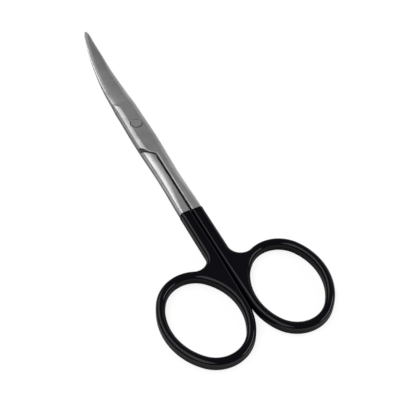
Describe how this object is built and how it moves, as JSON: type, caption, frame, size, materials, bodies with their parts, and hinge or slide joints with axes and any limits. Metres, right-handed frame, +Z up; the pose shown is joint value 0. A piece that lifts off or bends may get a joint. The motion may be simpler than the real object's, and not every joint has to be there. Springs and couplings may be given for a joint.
{
  "type": "dissecting scissors",
  "caption": "Curved dissecting scissors with finger rings: satin steel halves on a screw lap joint, tips curved upwards, gloss black coated handle.",
  "frame": {"origin": "centre of the closed scissors' footprint, in the plane of the joint's underside; the pivot axis is 19.9 mm ahead of it", "axes": "+X towards the blade tips, +Y towards the lower half's finger ring, +Z up, which is the way the tips curve"},
  "size_m": [0.1152, 0.0428, 0.0085],
  "materials": {
    "satin_steel": "satin ground",
    "screw_steel": "satin ground flush",
    "black_coat": "gloss"
  },
  "bodies": {
    "lower": {"lower_half": "satin_steel"},
    "upper": {"upper_half": "satin_steel", "pivot_screw": "screw_steel"}
  },
  "joints": [
    {"name": "blade_pivot", "type": "hinge", "parent": "lower", "child": "upper", "pos_m": [0.0199, 0, 0], "axis": [0, 0, 1], "range_deg": [0, 90]}
  ]
}
